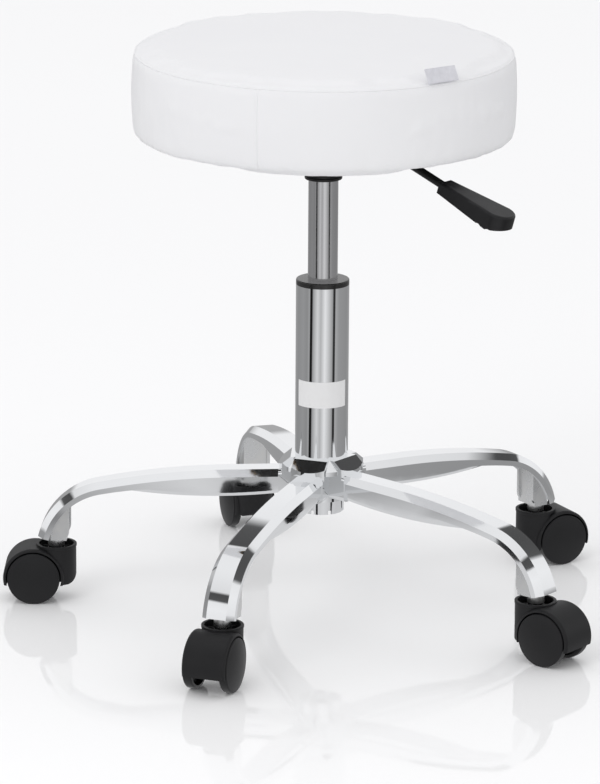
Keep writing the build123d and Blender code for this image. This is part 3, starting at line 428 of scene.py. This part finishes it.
def open_underneath(piece, low, radius):
    """Take out the closed bottom inside the turned-in hem, where the dust cloth shows."""
    activate(piece)
    bpy.ops.object.mode_set(mode="EDIT")
    bpy.ops.mesh.select_mode(type="FACE")
    bpy.ops.mesh.select_all(action="DESELECT")
    bpy.ops.object.mode_set(mode="OBJECT")
    for face in piece.data.polygons:
        inside = hypot(face.center.x, face.center.y) < radius - HEM
        face.select = inside and face.center.z < low + 12 * MM
    bpy.ops.object.mode_set(mode="EDIT")
    bpy.ops.mesh.delete(type="FACE")
    bpy.ops.object.mode_set(mode="OBJECT")


INNER_GAP = {"foam_pad": 5.0 * MM, "seat_board": 10.0 * MM}
OUTER_RING = 0.15               # only points beyond this radius are drawn in
TOP_GAP = 3.0 * MM
FOOT_GAP = 3.0 * MM


def inner_layers():
    """Foam and board, drawn in a little from the cover that is stretched over them."""
    for node in ("foam_pad", "seat_board"):
        piece = fine_copy(node, node + "_skin")
        low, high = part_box(node)
        for point in piece.data.vertices:
            reach = hypot(point.co.x, point.co.y)
            if reach > OUTER_RING:
                shrink = (reach - INNER_GAP[node]) / reach
                point.co.x *= shrink
                point.co.y *= shrink
            if node == "foam_pad" and point.co.z > high.z - 8 * MM:
                point.co.z -= TOP_GAP
            if node == "seat_board" and reach > OUTER_RING and point.co.z < low.z + MM:
                point.co.z += FOOT_GAP
        settle(piece, node, FINISH[SLOT_OF[node]])


dress_cad_nodes()
refine_cad_nodes()
inner_layers()
cushion()


# ------------------------------------------------------------------ stage, light and camera
FLOOR_SIZE = 60.0
PAINTED_BRIGHT_REACH = 0.30             # painted reflection: polished metal sees a bright floor tone within this radius
PAINTED_DARK_REACH = 0.46             # and the painted reflection's graded tone beyond this one


def ramp_of(tree, stops):
    """Grey ramp through (position, value) stops."""
    ramp = add(tree, "ShaderNodeValToRGB")
    marks = ramp.color_ramp.elements
    while len(marks) < len(stops):
        marks.new(0.5)
    for mark, (place, value) in zip(marks, stops):
        mark.position = place
        mark.color = (value, value, value * 1.01, 1.0)
    return ramp


def painted_reflection_group():
    """Painted reflection for polished metal, seen only by glossy rays: pale grey, with two thin
    dark gaps.
    """
    tree = bpy.data.node_groups.new("painted_reflection_surround", "ShaderNodeTree")
    tree.interface.new_socket("Vector", in_out="INPUT", socket_type="NodeSocketVector")
    tree.interface.new_socket("Color", in_out="OUTPUT", socket_type="NodeSocketColor")
    source, out = tree.nodes.new("NodeGroupInput"), tree.nodes.new("NodeGroupOutput")
    parts = add(tree, "ShaderNodeSeparateXYZ")
    turn = add(tree, "ShaderNodeMath", operation="ARCTAN2")
    share = add(tree, "ShaderNodeMath", operation="MULTIPLY_ADD")
    share.inputs[1].default_value = 1 / (2 * pi)
    share.inputs[2].default_value = 0.5
    # Painted reflection tones by turn round the stool, with two near-black gaps.
    ramp = ramp_of(tree, [
        (0.0, 0.34), (0.06, 0.30), (0.092, 0.42), (0.098, 0.01), (0.124, 0.01), (0.132, 0.35),
        (0.19, 0.75), (0.23, 0.52), (0.28, 0.9), (0.33, 0.6), (0.372, 0.35), (0.38, 0.03),
        (0.402, 0.03), (0.41, 0.45), (0.46, 0.34), (0.60, 0.30), (0.75, 0.42), (0.90, 0.30),
        (1.0, 0.34)])
    links = tree.links
    links.new(source.outputs["Vector"], parts.inputs[0])
    links.new(parts.outputs["Y"], turn.inputs[0])
    links.new(parts.outputs["X"], turn.inputs[1])
    links.new(turn.outputs[0], share.inputs[0])
    links.new(share.outputs[0], ramp.inputs["Fac"])
    links.new(ramp.outputs["Color"], out.inputs["Color"])
    return tree


PAINTED_REFLECTION = painted_reflection_group()


def mix_by(tree, share, first, second):
    """Colour mixed from first to second by share, each a socket."""
    mix = add(tree, "ShaderNodeMix", data_type="RGBA")
    tree.links.new(share, mix.inputs["Factor"])
    tree.links.new(first, mix.inputs[6])
    tree.links.new(second, mix.inputs[7])
    return mix.outputs[2]


def floor():
    """Pale gloss floor. For glossy rays it glows instead with a painted reflection, which darkens
    away from the stool.
    """
    bpy.ops.mesh.primitive_plane_add(size=FLOOR_SIZE, location=(0, 0, 0))
    piece = bpy.context.active_object
    piece.name = "floor"
    material = bpy.data.materials.new("pale_floor_painted_reflection")
    material.use_nodes = True
    tree = material.node_tree
    shader = tree.nodes["Principled BSDF"]
    shader.inputs["Base Color"].default_value = (0.985, 0.985, 0.985, 1.0)
    shader.inputs["Roughness"].default_value = 0.04
    shader.inputs["Specular IOR Level"].default_value = 0.16
    place = add(tree, "ShaderNodeTexCoord")
    effect = add(tree, "ShaderNodeGroup", node_tree=PAINTED_REFLECTION)
    size = add(tree, "ShaderNodeVectorMath", operation="LENGTH")
    reach = add(tree, "ShaderNodeMapRange")
    reach.inputs["From Min"].default_value = PAINTED_BRIGHT_REACH
    reach.inputs["From Max"].default_value = PAINTED_DARK_REACH
    # Painted reflection: the grey tone that glossy rays see on the floor near the stool.
    near = add(tree, "ShaderNodeRGB")
    near.outputs[0].default_value = (0.72, 0.72, 0.73, 1.0)
    painted_reflection_glow = add(tree, "ShaderNodeEmission")
    rays = add(tree, "ShaderNodeLightPath")
    choice = add(tree, "ShaderNodeMixShader")
    links = tree.links
    links.new(place.outputs["Object"], effect.inputs["Vector"])
    links.new(place.outputs["Object"], size.inputs[0])
    links.new(size.outputs["Value"], reach.inputs["Value"])
    seen = mix_by(tree, reach.outputs["Result"], near.outputs[0], effect.outputs["Color"])
    links.new(seen, painted_reflection_glow.inputs["Color"])
    # Glossy rays see the painted reflection glow in place of the floor's own shader.
    links.new(rays.outputs["Is Glossy Ray"], choice.inputs["Fac"])
    links.new(shader.outputs["BSDF"], choice.inputs[1])
    links.new(painted_reflection_glow.outputs["Emission"], choice.inputs[2])
    links.new(choice.outputs["Shader"], tree.nodes["Material Output"].inputs["Surface"])
    paint(piece, material)


def area_light(name, spot, aim, width, height, power):
    data = bpy.data.lights.new(name, "AREA")
    data.shape = "RECTANGLE"
    data.size = width
    data.size_y = height
    data.energy = power
    light = bpy.data.objects.new(name, data)
    light.visible_glossy = False
    bpy.context.scene.collection.objects.link(light)
    light.location = spot
    light.rotation_euler = (Vector(aim) - Vector(spot)).to_track_quat("-Z", "Y").to_euler()
    return light


def studio():
    """White room for the eye and for soft light; a graded painted reflection, with dark bands, for
    polished metal's glossy rays.
    """
    world = bpy.data.worlds.new("studio")
    world.use_nodes = True
    tree = world.node_tree
    background = tree.nodes["Background"]
    place = add(tree, "ShaderNodeTexCoord")
    painted_reflection_bands = add(tree, "ShaderNodeGroup", node_tree=PAINTED_REFLECTION)
    parts = add(tree, "ShaderNodeSeparateXYZ")
    # Painted reflection overhead, for glossy rays only, with a near-black band.
    painted_overhead_reflection = ramp_of(tree, [
        (0.0, 0.9), (0.14, 0.95), (0.34, 1.0), (0.5, 0.95), (0.54, 0.10), (0.66, 0.08),
        (0.70, 0.85), (1.0, 1.0)])
    rise = add(tree, "ShaderNodeMapRange")
    rise.inputs["From Min"].default_value = 0.02
    rise.inputs["From Max"].default_value = 0.08
    rays = add(tree, "ShaderNodeLightPath")
    white = add(tree, "ShaderNodeRGB")
    white.outputs[0].default_value = (0.93, 0.93, 0.94, 1.0)
    links = tree.links
    links.new(place.outputs["Generated"], painted_reflection_bands.inputs["Vector"])
    links.new(place.outputs["Generated"], parts.inputs[0])
    links.new(parts.outputs["Z"], painted_overhead_reflection.inputs["Fac"])
    links.new(parts.outputs["Z"], rise.inputs["Value"])
    seen = mix_by(tree, rise.outputs["Result"], painted_reflection_bands.outputs["Color"], painted_overhead_reflection.outputs["Color"])
    # Glossy rays see the painted reflection; diffuse rays see plain white.
    seen = mix_by(tree, rays.outputs["Is Glossy Ray"], white.outputs[0], seen)
    plain_white = add(tree, "ShaderNodeRGB")
    plain_white.outputs[0].default_value = (1.0, 1.0, 1.0, 1.0)
    seen = mix_by(tree, rays.outputs["Is Camera Ray"], seen, plain_white.outputs[0])
    links.new(seen, background.inputs["Color"])
    bpy.context.scene.world = world
    area_light("key", (-1.4, -2.2, 2.4), (0, 0, 0.3), 1.4, 1.4, 15.0)


CAMERA_DISTANCE = 4.2049
CAMERA_HEIGHT = 1.3456
CAMERA_PITCH = 15.133           # degrees down
CAMERA_YAW = 0.2805             # degrees to the left
CAMERA_ROLL = 0.36              # degrees
LENS = 212.43
SENSOR = 36.0


def camera():
    data = bpy.data.cameras.new("camera")
    data.lens = LENS
    data.sensor_width = SENSOR
    eye = bpy.data.objects.new("camera", data)
    bpy.context.scene.collection.objects.link(eye)
    turn = (Matrix.Rotation(radians(CAMERA_YAW), 4, "Z")
            @ Matrix.Rotation(pi / 2 - radians(CAMERA_PITCH), 4, "X")
            @ Matrix.Rotation(radians(CAMERA_ROLL), 4, "Z"))
    eye.matrix_world = Matrix.Translation((0, -CAMERA_DISTANCE, CAMERA_HEIGHT)) @ turn
    bpy.context.scene.camera = eye


floor()
studio()
camera()
bpy.context.scene.view_settings.view_transform = "Standard"
